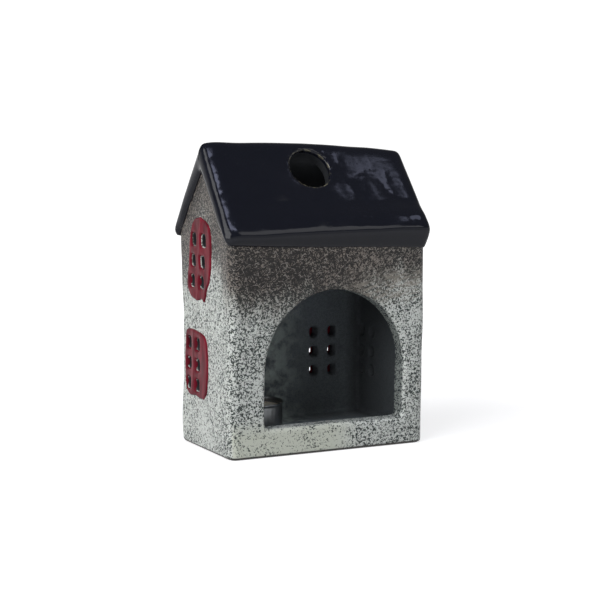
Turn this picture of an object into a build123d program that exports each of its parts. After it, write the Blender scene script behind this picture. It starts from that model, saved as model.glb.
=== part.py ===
from build123d import *

import os
from collections import namedtuple
from math import cos, radians, sin, tan

# A slab-built stoneware house that holds a tealight. Millimetres, +Z up, the arch faces -Y.
# The origin is the middle of the base, on the table. Left and right are as seen from the front.

# The tealight that the house is made for
tealight_diameter = 38.0
tealight_height = 15.0
tealight_gap = 0.8  # left free between the tealight and the two walls of its corner
cup_wall = 0.4
cup_foot_radius = 1.5
cup_rim_width = 0.8  # rolled rim, inside the tealight's diameter
cup_rim_height = 1.0
wax_height = 11.5
wax_gap = 0.1  # wax shrinks away from the cup and from the wick's foot as it sets
wax_edge_radius = 0.8
wick_diameter = 1.8
wick_standout = 8.0  # above the wax
wick_gap = 0.05
sustainer_diameter = 14.0
sustainer_thickness = 0.5
sustainer_neck_wall = 0.5
sustainer_neck_height = 3.0

# Floor and walls
house_width = 120.0
wall_height = 111.5  # from the table to where the front wall meets the roof
wall_thickness = 10.0
floor_thickness = 10.0
candle_room = 11.0  # front to back, what the chamber has over the tealight's diameter
corner_radius = 5.0
foot_radius = 2.0

# Arch in the front wall, a little off the middle
left_pier_width = 21.0
right_pier_width = 14.0
sill_rise = 6.0  # lip that the sill makes above the floor
lintel_height = 21.5  # clay between the crown of the arch and the roof
arch_foot_radius = 3.0
arch_edge_radius = 2.0

# Roof
roof_pitch = 52.5  # degrees
roof_thickness = 8.5
eave_overhang = 3.0
gable_overhang = 3.0
ridge_radius = 3.2
eave_radius = 3.0
verge_radius = 2.4  # rounding of the slabs' ends over the gables
vent_diameter = 24.0
vent_below_ridge = 19.8  # down the slope, from the line where the two slopes would meet

# Windows: small panes cut through the clay, with a coat of red glaze brushed round them
pane_columns = 2
pane_rows = 3
pane_width = 5.2
pane_height = 6.2
pane_corner_radius = 1.4
pane_pitch_across = 12.0
pane_pitch_up = 11.4
pane_wall_gap = 0.4  # from the lower gable panes to the inner face of the back wall
coat_thickness = 0.5
coat_corner_radius = 6.0
lower_window_height = 46.6  # table to the middle of the panes
lower_coat_width = 31.5
lower_coat_height = 37.5
lower_coat_shift = 4.0  # the coat reaches further to the front than its panes do
upper_window_offset = 7.4  # middle of the panes, behind the middle of the gable
upper_window_lean = 10.0  # degrees, the upper window leans towards the front
upper_coat_width = 28.0
upper_coat_height = 45.8
upper_coat_shift = 1.9
upper_coat_top_radius = 11.0
window_storey_gap = 16.5  # bare wall between the lower coat and the upper one
back_window_offset = 26.4  # to each side of the middle of the back wall

# Worked out from the sizes above
slope = tan(radians(roof_pitch))
inner_y = (tealight_diameter + candle_room) / 2
wall_y = inner_y + wall_thickness
house_depth = 2 * wall_y
half_width = house_width / 2
inner_x = half_width - wall_thickness
eave_y = wall_y + eave_overhang
under_peak = wall_height + wall_y * slope
outer_peak = under_peak + roof_thickness / cos(radians(roof_pitch))
upper_window_height = lower_window_height + (lower_coat_height + upper_coat_height) / 2 + window_storey_gap


def under_roof(y):
    """Height of the roof's underside at a distance from the ridge."""
    return under_peak - abs(y) * slope


def on_roof(y):
    """Height of the roof's upper face at a distance from the ridge."""
    return outer_peak - abs(y) * slope


# Floor: one slab under the whole house, with the walls standing on it
with BuildPart() as floor_slab:
    with BuildSketch():
        RectangleRounded(house_width, house_depth, corner_radius)
    extrude(amount=floor_thickness)
    fillet(floor_slab.faces().sort_by(Axis.Z)[0].edges(), foot_radius)

# Front wall: its top is bevelled to the slope of the roof
with BuildPart() as front_wall:
    with BuildSketch(Plane.YZ):
        with BuildLine():
            Polyline(
                (-wall_y, floor_thickness),
                (-inner_y, floor_thickness),
                (-inner_y, under_roof(inner_y)),
                (-wall_y, under_roof(wall_y)),
                close=True,
            )
        make_face()
    extrude(amount=half_width, both=True)
    fillet(front_wall.edges().filter_by(Axis.Z).group_by(Axis.Y)[0], corner_radius)

    arch_left = left_pier_width - half_width
    arch_right = half_width - right_pier_width
    arch_middle = (arch_left + arch_right) / 2
    sill_height = floor_thickness + sill_rise
    crown_height = wall_height - lintel_height
    spring_height = crown_height - (arch_right - arch_left) / 2
    with BuildSketch(Plane.XZ.offset(wall_y)) as arch:
        with BuildLine():
            Polyline(
                (arch_left, spring_height),
                (arch_left, sill_height),
                (arch_right, sill_height),
                (arch_right, spring_height),
            )
            ThreePointArc(
                (arch_right, spring_height),
                (arch_middle, crown_height),
                (arch_left, spring_height),
            )
        make_face()
        fillet(arch.vertices().group_by(Axis.Y)[0], arch_foot_radius)
    extrude(amount=-wall_thickness, mode=Mode.SUBTRACT)
    front_face = front_wall.faces().filter_by(Axis.Y).sort_by(Axis.Y)[0]
    fillet(front_face.inner_wires()[0].edges(), arch_edge_radius)

# Windows, seen from outside: across is to the right of the viewer, up is from the table
Window = namedtuple("Window", "across up lean coat_width coat_height coat_shift top_radius")

lower_panes_back = inner_y - pane_wall_gap - pane_width / 2
lower_panes_middle = lower_panes_back - (pane_columns - 1) * pane_pitch_across / 2
gable_lower = Window(
    -lower_panes_middle,
    lower_window_height,
    0.0,
    lower_coat_width,
    lower_coat_height,
    lower_coat_shift,
    coat_corner_radius,
)
gable_upper = Window(
    -upper_window_offset,
    upper_window_height,
    tan(radians(upper_window_lean)),
    upper_coat_width,
    upper_coat_height,
    upper_coat_shift,
    upper_coat_top_radius,
)
back_left, back_right = [
    Window(
        across,
        lower_window_height,
        0.0,
        lower_coat_width,
        lower_coat_height,
        0.0,
        coat_corner_radius,
    )
    for across in (back_window_offset, -back_window_offset)
]


def pane_places(window):
    """Middle of each pane, row by row, each row shifted by the window's lean."""
    places = []
    for row in range(pane_rows):
        rise = (row - (pane_rows - 1) / 2) * pane_pitch_up
        for column in range(pane_columns):
            run = (column - (pane_columns - 1) / 2) * pane_pitch_across
            places.append((window.across + run + rise * window.lean, window.up + rise))
    return places


# Back wall: the front wall's slab without the arch, with two windows
back_face = Plane(origin=(0, wall_y, 0), x_dir=(-1, 0, 0), z_dir=(0, 1, 0))
with BuildPart() as back_wall:
    with BuildSketch(Plane.YZ):
        with BuildLine():
            Polyline(
                (wall_y, floor_thickness),
                (inner_y, floor_thickness),
                (inner_y, under_roof(inner_y)),
                (wall_y, under_roof(wall_y)),
                close=True,
            )
        make_face()
    extrude(amount=half_width, both=True)
    fillet(back_wall.edges().filter_by(Axis.Z).group_by(Axis.Y)[-1], corner_radius)
    with BuildSketch(back_face):
        with Locations(*pane_places(back_left), *pane_places(back_right)):
            RectangleRounded(pane_width, pane_height, pane_corner_radius)
    extrude(amount=-wall_thickness, mode=Mode.SUBTRACT)

# Gable walls: they stand between the front wall and the back wall
left_face = Plane(origin=(-half_width, 0, 0), x_dir=(0, -1, 0), z_dir=(-1, 0, 0))
with BuildPart() as left_gable_wall:
    with BuildSketch(left_face):
        with BuildLine():
            Polyline(
                (-inner_y, floor_thickness),
                (inner_y, floor_thickness),
                (inner_y, under_roof(inner_y)),
                (0, under_peak),
                (-inner_y, under_roof(inner_y)),
                close=True,
            )
        make_face()
        with Locations(*pane_places(gable_lower), *pane_places(gable_upper)):
            RectangleRounded(pane_width, pane_height, pane_corner_radius, mode=Mode.SUBTRACT)
    extrude(amount=-wall_thickness)

with BuildPart() as right_gable_wall:
    mirror(left_gable_wall.part, about=Plane.YZ)


def glaze_coat(face, bare_width, peak, window):
    """Red glaze round one window, open at its panes, on the flat part of a wall's outer face."""
    middle = window.across + window.coat_shift
    half_across = window.coat_width / 2
    half_up = window.coat_height / 2
    run = half_up * window.lean
    with BuildPart() as coat:
        with BuildSketch(face) as outline:
            with BuildLine():
                Polyline(
                    (middle - half_across - run, window.up - half_up),
                    (middle + half_across - run, window.up - half_up),
                    (middle + half_across + run, window.up + half_up),
                    (middle - half_across + run, window.up + half_up),
                    close=True,
                )
            make_face()
            fillet(outline.vertices().group_by(Axis.Y)[0], coat_corner_radius)
            fillet(outline.vertices().group_by(Axis.Y)[-1], window.top_radius)
            with BuildLine():
                Polyline(
                    (-bare_width, floor_thickness),
                    (bare_width, floor_thickness),
                    (bare_width, wall_height),
                    (0, peak),
                    (-bare_width, wall_height),
                    close=True,
                )
            make_face(mode=Mode.INTERSECT)
            with Locations(*pane_places(window)):
                RectangleRounded(pane_width, pane_height, pane_corner_radius, mode=Mode.SUBTRACT)
        extrude(amount=coat_thickness)
    return coat.part


gable_flat = wall_y - corner_radius
gable_peak = wall_height + gable_flat * slope
back_flat = half_width - corner_radius
left_upper_coat = glaze_coat(left_face, gable_flat, gable_peak, gable_upper)
left_lower_coat = glaze_coat(left_face, gable_flat, gable_peak, gable_lower)
back_left_coat = glaze_coat(back_face, back_flat, wall_height, back_left)
back_right_coat = glaze_coat(back_face, back_flat, wall_height, back_right)

with BuildPart() as right_upper_coat:
    mirror(left_upper_coat, about=Plane.YZ)

with BuildPart() as right_lower_coat:
    mirror(left_lower_coat, about=Plane.YZ)

# Roof: both slabs are rounded together over the ridge, then parted by the mitre under it
with BuildPart() as roof:
    with BuildSketch(Plane.YZ) as section:
        with BuildLine():
            Polyline(
                (0, outer_peak),
                (eave_y, on_roof(eave_y)),
                (wall_y, under_roof(wall_y)),
                (0, under_peak),
                (-wall_y, under_roof(wall_y)),
                (-eave_y, on_roof(eave_y)),
                close=True,
            )
        make_face()
        fillet(section.vertices().sort_by(Axis.Y)[-1], ridge_radius)
        eave_corners = section.vertices().group_by(Axis.X)[0] + section.vertices().group_by(Axis.X)[-1]
        fillet(eave_corners, eave_radius)
    extrude(amount=half_width + gable_overhang, both=True)
    ends = roof.faces().filter_by(Axis.X)
    undersides = roof.faces().filter_by(lambda face: face.normal_at().Z < -0.1)
    fillet(ends.edges() - undersides.edges(), verge_radius)

with BuildPart() as front_roof_slab:
    add(roof.part)
    split(bisect_by=Plane.XZ, keep=Keep.TOP)
    vent_y = -vent_below_ridge * cos(radians(roof_pitch))
    square_to_slope = (0, -sin(radians(roof_pitch)), cos(radians(roof_pitch)))
    with BuildSketch(Plane(origin=(0, vent_y, on_roof(vent_y)), x_dir=(1, 0, 0), z_dir=square_to_slope)):
        Circle(vent_diameter / 2)
    extrude(amount=-2 * roof_thickness, mode=Mode.SUBTRACT)

with BuildPart() as back_roof_slab:
    add(roof.part)
    split(bisect_by=Plane.XZ, keep=Keep.BOTTOM)

# Tealight: it stands on the floor in the back left corner
candle = Plane(
    origin=(
        tealight_gap + tealight_diameter / 2 - inner_x,
        inner_y - tealight_gap - tealight_diameter / 2,
        floor_thickness,
    ),
    x_dir=(1, 0, 0),
    z_dir=(0, 0, 1),
)
candle_section = Plane(origin=candle.origin, x_dir=(1, 0, 0), z_dir=(0, -1, 0))
candle_axis = Axis(candle.origin, (0, 0, 1))
rim_radius = tealight_diameter / 2
cup_radius = rim_radius - cup_rim_width
wick_radius = wick_diameter / 2
neck_bore = wick_radius + wick_gap
neck_radius = neck_bore + sustainer_neck_wall
neck_top = cup_wall + sustainer_thickness + sustainer_neck_height
wax_top = cup_wall + wax_height

# Cup: thin pressed metal with a rolled rim
with BuildPart() as tealight_cup:
    with BuildSketch(candle_section) as cup_outline:
        with BuildLine():
            Polyline(
                (0, 0),
                (cup_radius, 0),
                (cup_radius, tealight_height - cup_rim_height),
                (rim_radius, tealight_height - cup_rim_height),
                (rim_radius, tealight_height),
                (cup_radius - cup_wall, tealight_height),
                (cup_radius - cup_wall, cup_wall),
                (0, cup_wall),
                close=True,
            )
        make_face()
        foot = cup_outline.vertices().group_by(Axis.Y)[0].sort_by(Axis.X)[-1]
        fillet(foot, cup_foot_radius)
        inside_foot = cup_outline.vertices().group_by(Axis.Y)[1].sort_by(Axis.X)[-1]
        fillet(inside_foot, cup_foot_radius - cup_wall)
        fillet(cup_outline.vertices().group_by(Axis.X)[-1], cup_rim_height / 3)
    revolve(axis=candle_axis)

# Wick sustainer: a small metal foot that holds the wick upright on the cup's floor
with BuildPart() as wick_sustainer:
    with BuildSketch(candle_section):
        with BuildLine():
            Polyline(
                (neck_bore, cup_wall),
                (sustainer_diameter / 2, cup_wall),
                (sustainer_diameter / 2, cup_wall + sustainer_thickness),
                (neck_radius, cup_wall + sustainer_thickness),
                (neck_radius, neck_top),
                (neck_bore, neck_top),
                close=True,
            )
        make_face()
    revolve(axis=candle_axis)

# Wick: a braided cotton cord, from the cup's floor through the wax
with BuildPart() as tealight_wick:
    with BuildSketch(candle.offset(cup_wall)):
        Circle(wick_radius)
    extrude(amount=wax_height + wick_standout)
    fillet(tealight_wick.edges().sort_by(Axis.Z)[-1], wick_radius / 2)

# Wax: poured round the wick and its foot
with BuildPart() as tealight_wax:
    with BuildSketch(candle_section) as wax_section:
        with BuildLine():
            Polyline(
                (neck_bore, neck_top + wax_gap),
                (neck_radius + wax_gap, neck_top + wax_gap),
                (neck_radius + wax_gap, cup_wall + sustainer_thickness + wax_gap),
                (sustainer_diameter / 2 + wax_gap, cup_wall + sustainer_thickness + wax_gap),
                (sustainer_diameter / 2 + wax_gap, cup_wall),
                (cup_radius - cup_wall - wax_gap, cup_wall),
                (cup_radius - cup_wall - wax_gap, wax_top),
                (neck_bore, wax_top),
                close=True,
            )
        make_face()
        outer_corners = wax_section.vertices().group_by(Axis.X)[-1]
        fillet(outer_corners.sort_by(Axis.Y)[0], cup_foot_radius)
        fillet(wax_section.vertices().sort_by(Axis.X)[-1], wax_edge_radius)
    revolve(axis=candle_axis)

pieces = {
    "floor_slab": floor_slab.part,
    "front_wall": front_wall.part,
    "back_wall": back_wall.part,
    "left_gable_wall": left_gable_wall.part,
    "right_gable_wall": right_gable_wall.part,
    "front_roof_slab": front_roof_slab.part,
    "back_roof_slab": back_roof_slab.part,
    "left_upper_window_glaze": left_upper_coat,
    "left_lower_window_glaze": left_lower_coat,
    "right_upper_window_glaze": right_upper_coat.part,
    "right_lower_window_glaze": right_lower_coat.part,
    "back_left_window_glaze": back_left_coat,
    "back_right_window_glaze": back_right_coat,
    "tealight_cup": tealight_cup.part,
    "tealight_wax": tealight_wax.part,
    "tealight_wick": tealight_wick.part,
    "wick_sustainer": wick_sustainer.part,
}

os.makedirs("parts", exist_ok=True)
for name, piece in pieces.items():
    piece.label = name
    export_step(piece, f"parts/{name}.step")
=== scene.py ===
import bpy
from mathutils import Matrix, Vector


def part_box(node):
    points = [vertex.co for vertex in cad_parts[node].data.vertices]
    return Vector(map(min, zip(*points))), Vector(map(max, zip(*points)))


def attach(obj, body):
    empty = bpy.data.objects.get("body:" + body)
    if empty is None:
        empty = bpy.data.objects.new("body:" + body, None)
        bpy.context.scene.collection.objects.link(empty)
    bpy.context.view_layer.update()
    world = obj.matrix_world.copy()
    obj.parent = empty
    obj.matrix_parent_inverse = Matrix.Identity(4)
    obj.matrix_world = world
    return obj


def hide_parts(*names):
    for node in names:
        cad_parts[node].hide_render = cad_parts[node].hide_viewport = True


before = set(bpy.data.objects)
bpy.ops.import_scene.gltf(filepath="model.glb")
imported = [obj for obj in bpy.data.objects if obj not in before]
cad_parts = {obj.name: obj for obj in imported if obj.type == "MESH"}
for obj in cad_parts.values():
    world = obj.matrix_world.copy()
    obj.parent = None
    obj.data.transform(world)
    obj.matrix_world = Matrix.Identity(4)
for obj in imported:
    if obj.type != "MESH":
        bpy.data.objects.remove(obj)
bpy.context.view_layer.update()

import math
from functools import partial

import bmesh
import bpy
import numpy as np
from bpy.props import FloatProperty, FloatVectorProperty, IntProperty, PointerProperty
from mathutils import Vector, noise
from mathutils.bvhtree import BVHTree

bl_info = {
    "name": "Tealight house",
    "version": (1, 0, 0),
    "blender": (4, 5, 0),
    "location": "View3D > Sidebar > Tealight house",
    "description": "A hand-built stoneware house for a tealight, shaped and glazed around its CAD slabs",
    "category": "Add Mesh",
}

MM = 0.001
LEFT = Vector((-1, 0, 0))
RIGHT = Vector((1, 0, 0))
FRONT = Vector((0, -1, 0))
BACK = Vector((0, 1, 0))
UP = Vector((0, 0, 1))

# Faces of the clay slabs, from the CAD
HALF_WIDTH = -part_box("left_gable_wall")[0].x
INNER_X = -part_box("left_gable_wall")[1].x
WALL_Y = -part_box("front_wall")[0].y
INNER_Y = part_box("left_gable_wall")[1].y
FLOOR_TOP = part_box("floor_slab")[1].z
UNDER_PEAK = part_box("left_gable_wall")[1].z
SLOPE = (UNDER_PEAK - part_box("front_wall")[1].z) / INNER_Y
EAVE_HEIGHT = UNDER_PEAK - WALL_Y * SLOPE
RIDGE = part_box("front_roof_slab")[1].z
ROOF_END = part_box("front_roof_slab")[1].x
PITCH = math.atan(SLOPE)

# Sizes of the roof that no box gives, as they are in the CAD
ROOF_THICKNESS = 8.5 * MM
VENT_RADIUS = 12 * MM
VENT_BELOW_RIDGE = 19.8 * MM
VENT_AXIS = Vector((0, -math.sin(PITCH), math.cos(PITCH)))
VENT = Vector((0, 0, UNDER_PEAK + ROOF_THICKNESS / math.cos(PITCH)))
VENT -= VENT_BELOW_RIDGE * Vector((0, math.cos(PITCH), math.sin(PITCH)))

WALL_NODES = ("floor_slab", "front_wall", "back_wall", "left_gable_wall", "right_gable_wall")
ROOF_NODES = ("front_roof_slab", "back_roof_slab")


def linear(hex_colour):
    """An sRGB hex colour as linear red, green, blue and alpha."""
    channels = [int(hex_colour[i : i + 2], 16) / 255 for i in (1, 3, 5)]
    return tuple(c / 12.92 if c <= 0.04045 else ((c + 0.055) / 1.055) ** 2.4 for c in channels) + (1.0,)


def length(name, millimetres, description):
    """A length setting, given in millimetres and kept in metres."""
    size = millimetres * MM
    return FloatProperty(name=name, description=description, default=size, unit="LENGTH", precision=5)


def count(name, default, description, least=0):
    """A setting that is a whole number."""
    return IntProperty(name=name, description=description, default=default, min=least)


def ratio(name, default, description):
    """A setting that is a plain number."""
    return FloatProperty(name=name, description=description, default=default, min=0)


def power(name, watts, description):
    """A setting that is the power of a light."""
    return FloatProperty(name=name, description=description, default=watts, min=0, unit="POWER")


def colour(name, hex_colour, description):
    """A colour setting, given as sRGB hex and kept linear."""
    return FloatVectorProperty(
        name=name,
        description=description,
        default=linear(hex_colour),
        size=4,
        subtype="COLOR",
        min=0,
        max=1,
    )


class ClaySettings(bpy.types.PropertyGroup):
    """How far the clay is from the true shape of its slabs."""

    fuse_size: length("Fuse size", 1.0, "Grid on which the joined slabs fuse into one body")
    wall_rounds: count("Wall rounds", 4, "How often the wall edges are rubbed soft")
    roof_rounds: count("Roof rounds", 60, "How often the roof edges are rubbed soft")
    seed: count("Seed", 1, "Which of the random waves and dents the slabs have")
    sway_length: length("Sway length", 75, "Length of the broad waves in the slabs")
    sway_height: length("Sway height", 1.3, "Height of the broad waves in the slabs")
    dent_length: length("Dent length", 17, "Length of the small dents that fingers leave")
    dent_height: length("Dent height", 0.3, "Depth of the small dents that fingers leave")
    lap: length("Lap", 4.5, "How far the tops of the walls are pressed up into the roof")
    ridge_fall: length("Ridge fall", 3.3, "How far each end of the ridge is from level, the left one up")
    ridge_crown: length("Ridge crown", 0.4, "How far the ridge rises in its middle")
    eave_fall: length("Eave fall", 3.2, "How far the eaves hang down at the right end, and rise at the left")
    eave_tuck: length("Eave tuck", 2.6, "How far the lower corner of the eaves is tucked in at the right")
    eave_roll: length("Eave roll", 1.8, "How far the upper edge of the eaves swells at the right end")
    verge_roll: length("Verge roll", 2.2, "How far the upper face of the roof rolls over at its left end")
    peak_fill: length("Peak fill", 3.5, "Clay pressed into the peak under each end of the roof")


class WindowSettings(bpy.types.PropertyGroup):
    """The panes, and the red glaze brushed round them."""

    grid_size: length("Grid size", 0.5, "Grid of the glaze surface")
    glaze_height: length("Glaze height", 0.75, "Thickness of the brushed glaze")
    glaze_root: length("Glaze root", 0.35, "How far the glaze is fused into the wall below it")
    edge_width: length("Edge width", 1.5, "Width of the round edge of the glaze")
    edge_wander: length("Edge wander", 0.45, "How far the brushed edge wanders")
    wander_size: length("Wander size", 5, "Length of the waves in the brushed edge")
    pool_size: length("Pool size", 8, "Size of the pools in which the glaze lies thicker")
    seam_height: length("Seam height", 0.12, "Height of the ridge where two brush strokes meet")
    seam_width: length("Seam width", 0.9, "Half the width of that ridge")
    seam_drop: length("Seam drop", 14, "How far below the panes' middle a leaning ridge is in line with it")
    pane_width: length("Pane width", 5.2, "Width of a pane")
    pane_height: length("Pane height", 6.2, "Height of a pane")
    pane_corner: length("Pane corner", 1.4, "Corner radius of a pane")
    pane_wrap: length("Pane wrap", -0.3, "How far it reaches over a gable pane; below zero it stops short")
    back_wrap: length("Back wrap", 2.0, "How far it reaches over a pane at the back, where it ran")
    pane_slit: length("Pane slit", 0.4, "Half the width that stays open where it ran the most")
    pitch_across: length("Pitch across", 12.0, "Distance between the pane columns")
    pitch_up: length("Pitch up", 11.4, "Distance between the pane rows")


class TealightSettings(bpy.types.PropertyGroup):
    """The tealight in the house."""

    steps: count("Steps", 144, "Steps round the turned pieces", least=24)
    cup_wall: length("Cup wall", 0.4, "Thickness of the pressed cup")
    rim_width: length("Rim width", 0.8, "How far the rolled rim stands out from the cup")
    rim_drop: length("Rim drop", 1.2, "How far below its top the cup's side runs into the rim")
    flute_count: count("Flutes", 36, "Flutes that the press leaves in the cup")
    flute_depth: length("Flute depth", 0.12, "Depth of the flutes")
    flute_fade: length("Flute fade", 2, "How far the flutes fade in at the foot and out at the rim")
    foot_radius: length("Foot radius", 1.5, "Radius between the cup's bottom and its side")
    wax_corner: length("Wax corner", 1.2, "Radius of the wax between its bottom and its side")
    meniscus: length("Meniscus", 0.7, "How far the wax creeps up at the cup and the wick")
    strand_turns: ratio("Strand turns", 4.5, "Turns of the wick's strands")
    sheet: length("Sheet", 0.5, "Thickness of the wick's foot")
    sheet_bend: length("Sheet bend", 0.8, "Radius of the bend in the wick's foot")


class GlazeSettings(bpy.types.PropertyGroup):
    """Colours of the glazes and of the tealight, and the sizes of their patterns."""

    pale: colour("Pale glaze", "#D0D4CF", "Milky glaze between the flecks")
    cream: colour("Cream", "#C7CBBE", "Plain glaze on the sill, where it lies thick")
    fleck: colour("Fleck", "#353C39", "Dark flecks in the wall glaze")
    brown_pale: colour("Brown pale", "#7A726A", "Flecks where the glaze runs thin below the roof")
    brown: colour("Brown", "#0E0B0A", "Iron brown of the thin glaze below the roof")
    tan: colour("Tan", "#928C82", "Brush streaks above the arch")
    hair: colour("Hair", "#918B85", "Hair-fine pale lines in the brown")
    # The two reveal colours paint shade into the arch and the pane reveals
    painted_reveal_shade_pale: colour("Reveal pale", "#888E8A", "Flecks in the arch and the panes, where the glaze is thin")
    reveal: colour("Reveal", "#20252A", "Dark glaze in the arch and the panes")
    # Inside, the pale daubs are kept to the left of the room as painted light
    inside_pale: colour("Inside pale", "#B4BFBD", "Glaze inside the house, where the brush reached")
    inside: colour("Inside", "#5F656A", "Dark glaze inside the house")
    # This colour is also the painted shade on the right of the room and round the panes
    soot_and_shade: colour("Soot", "#25272A", "Bare clay under the roof, dark with soot")
    # The bare clay is near black, which paints a contact shadow along the foot
    clay: colour("Bare clay", "#2A2725", "Dark iron clay of the unglazed foot that the house stands on")
    roof: colour("Roof", "#13151E", "Blue-black roof glaze")
    roof_thin: colour("Roof thin", "#6B6756", "Roof glaze where it breaks over an edge")
    red: colour("Red", "#581420", "Red window glaze where it lies thick")
    red_bright: colour("Red bright", "#7C1A2B", "Red window glaze where it runs thin")
    aluminium: colour("Aluminium", "#7E8082", "Bare pressed aluminium")
    wax: colour("Wax", "#E9E3D4", "Poured paraffin wax")
    cotton: colour("Cotton", "#D9D2C0", "Waxed cotton wick")
    tin: colour("Tin", "#9FA1A2", "Tinned sheet of the wick's foot")
    paper: colour("Paper", "#FFFFFF", "Floor and backdrop")
    worm_size: length("Worm size", 1.2, "Size of the dark worms in the wall glaze")
    grain_size: length("Grain size", 0.65, "Size of the grain that frays the worms")
    patch_size: length("Patch size", 22, "Size of the patches with more or fewer worms")
    run_size: length("Run size", 12, "Width of the runs in which the brown ends")
    brown_wander: length("Brown wander", 22, "How far the lower edge of the brown wanders up and down")
    brown_full: length("Brown full", 12, "How far below the roof the brown is full")
    brown_end: length("Brown end", 46, "How far below the roof the brown ends")
    streak_size: length("Streak size", 1.2, "Width of the brush streaks above the arch")
    streak_stretch: ratio("Streak stretch", 8, "Length of those streaks to their width")
    hair_size: length("Hair size", 0.5, "Width of the hair-fine lines in the brown")
    hair_stretch: ratio("Hair stretch", 9, "Length of those lines to their width")
    daub_size: length("Daub size", 7, "Size of the daubs of glaze inside the house")
    wave_size: length("Wave size", 16, "Length of the waves in the roof glaze")
    roof_stroke: length("Roof stroke", 9, "Width of the strokes in the roof glaze")
    peel_size: length("Peel size", 2.5, "Size of the fine ripples in the roof glaze")
    pinhole_spacing: length("Pinhole spacing", 7, "Distance between the pinholes in the roof glaze")
    break_size: length("Break size", 6, "Length of the breaks in the pale line round the vent")
    red_stroke: length("Red stroke", 5, "Width of the brush strokes in the red glaze")
    red_pool: length("Red pool", 9, "Size of the pools in the red glaze")
    draw_line: length("Draw line", 0.6, "Spacing of the press's draw lines in the cup")
    mottle_size: length("Mottle size", 4, "Size of the mottle in the wax")
    fibre_size: length("Fibre size", 0.3, "Thickness of the fibres in the wick")
    cloud_size: length("Cloud size", 3, "Size of the clouds in the tin")


class StageSettings(bpy.types.PropertyGroup):
    """Camera, lights and backdrop."""

    lens: FloatProperty(name="Lens", description="Focal length", default=102.4, min=1, unit="CAMERA")
    key_power: power("Key power", 26.3, "Power of the large light on the left")
    fill_power: power("Fill power", 4.2, "Power of the light in front")
    top_power: power("Top power", 0.08, "Power of the small light that the roof mirrors")
    verge_power: power("Verge power", 2.8, "Power of the strip that the left verge mirrors")
    room_light: ratio("Room light", 0.2, "Strength of the light from the room all round")


def house_settings(context, name):
    """One group of the settings of this house."""
    return getattr(context.scene, "tealight_house_" + name)


def under_roof(y):
    """Height of the roof's true underside."""
    return UNDER_PEAK - abs(y) * SLOPE


def eased(value):
    """0 to 1, with a soft start and end."""
    value = max(0.0, min(1.0, value))
    return value * value * (3 - 2 * value)


# Steps that keep the waves of each seed and of each axis apart
SEED_STEP = Vector((3.7, 1.2, 0.4))
AXIS_STEP = Vector((17.3, 5.9, 11.1))


def wobble(place, seed):
    """A smooth random vector, the same in every run."""
    start = place + SEED_STEP * seed
    return Vector([noise.noise(start + AXIS_STEP * axis) for axis in range(3)])


def hand_pressed(point, clay):
    """Where a point of the true shape lies in the hand-built house."""
    rise = max(0.0, (point.z - EAVE_HEIGHT) / (RIDGE - EAVE_HEIGHT))
    along = point.x / ROOF_END
    lift = (clay.ridge_crown * (1 - along * along) - clay.ridge_fall * along) * rise
    broad = wobble(point / clay.sway_length, clay.seed) * clay.sway_height
    dents = wobble(point / clay.dent_length, clay.seed) * clay.dent_height
    # The foot stays flat, and the floor level
    shift = (broad + dents) * eased(point.z / (FLOOR_TOP * 1.5))
    shift.z *= eased(point.z / FLOOR_TOP - 1)
    return point + shift + Vector((0, 0, lift))


def linked(name, data):
    """A new object in the scene."""
    made = bpy.data.objects.new(name, data)
    bpy.context.scene.collection.objects.link(made)
    return made


def smooth_mesh(name, shape):
    """A smoothly shaded mesh of a bmesh, which is freed."""
    mesh = bpy.data.meshes.new(name)
    shape.to_mesh(mesh)
    shape.free()
    mesh.polygons.foreach_set("use_smooth", np.ones(len(mesh.polygons), bool))
    return mesh


def finished(piece, material, body, node):
    """Gives a piece its material and its CAD body, and hides the CAD node that it stands for."""
    piece.data.materials.clear()
    piece.data.materials.append(material)
    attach(piece, body)
    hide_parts(node)


def modified(mesh, setup):
    """A mesh after the modifiers that setup adds to it."""
    body = linked(mesh.name, mesh)
    setup(body)
    made = bpy.data.meshes.new_from_object(body.evaluated_get(bpy.context.evaluated_depsgraph_get()))
    bpy.data.objects.remove(body)
    bpy.data.meshes.remove(mesh)
    return made


def fused_clay(nodes, clay, rounds, before=None, softness=None):
    """One soft body from CAD slabs: joined, fused on a fine grid and rubbed smooth.
    A call may move the points before that, and another may say how soft each place gets."""
    slabs = bmesh.new()
    for node in nodes:
        slabs.from_mesh(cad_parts[node].data)
    bmesh.ops.remove_doubles(slabs, verts=slabs.verts, dist=0.001 * MM)
    if before:
        for vert in slabs.verts:
            before(vert.co)

    def fuse(body):
        grid = body.modifiers.new("fuse", "REMESH")
        grid.mode = "VOXEL"
        grid.voxel_size = clay.fuse_size

    def rub(body):
        hand = body.modifiers.new("rub", "SMOOTH")
        hand.factor = 0.5
        hand.iterations = rounds
        if softness:
            group = body.vertex_groups.new(name="soft")
            hand.vertex_group = group.name
            for vert in body.data.vertices:
                group.add([vert.index], softness(vert.co), "REPLACE")

    return modified(modified(smooth_mesh("joined", slabs), fuse), rub)


def pressed(mesh, move):
    """Moves every point of a body.
    Its true places stay with it for the glaze, and its normals for the parts that it is cut into."""
    values = np.empty(len(mesh.vertices) * 3, np.float32)
    mesh.vertices.foreach_get("co", values)
    mesh.attributes.new("true_place", "FLOAT_VECTOR", "POINT").data.foreach_set("vector", values)
    places = [move(vert.co) for vert in mesh.vertices]
    mesh.vertices.foreach_set("co", np.array(places, np.float32).ravel())
    mesh.update()
    mesh.vertex_normals.foreach_get("vector", values)
    mesh.attributes.new("whole_normal", "FLOAT_VECTOR", "POINT").data.foreach_set("vector", values)


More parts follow.
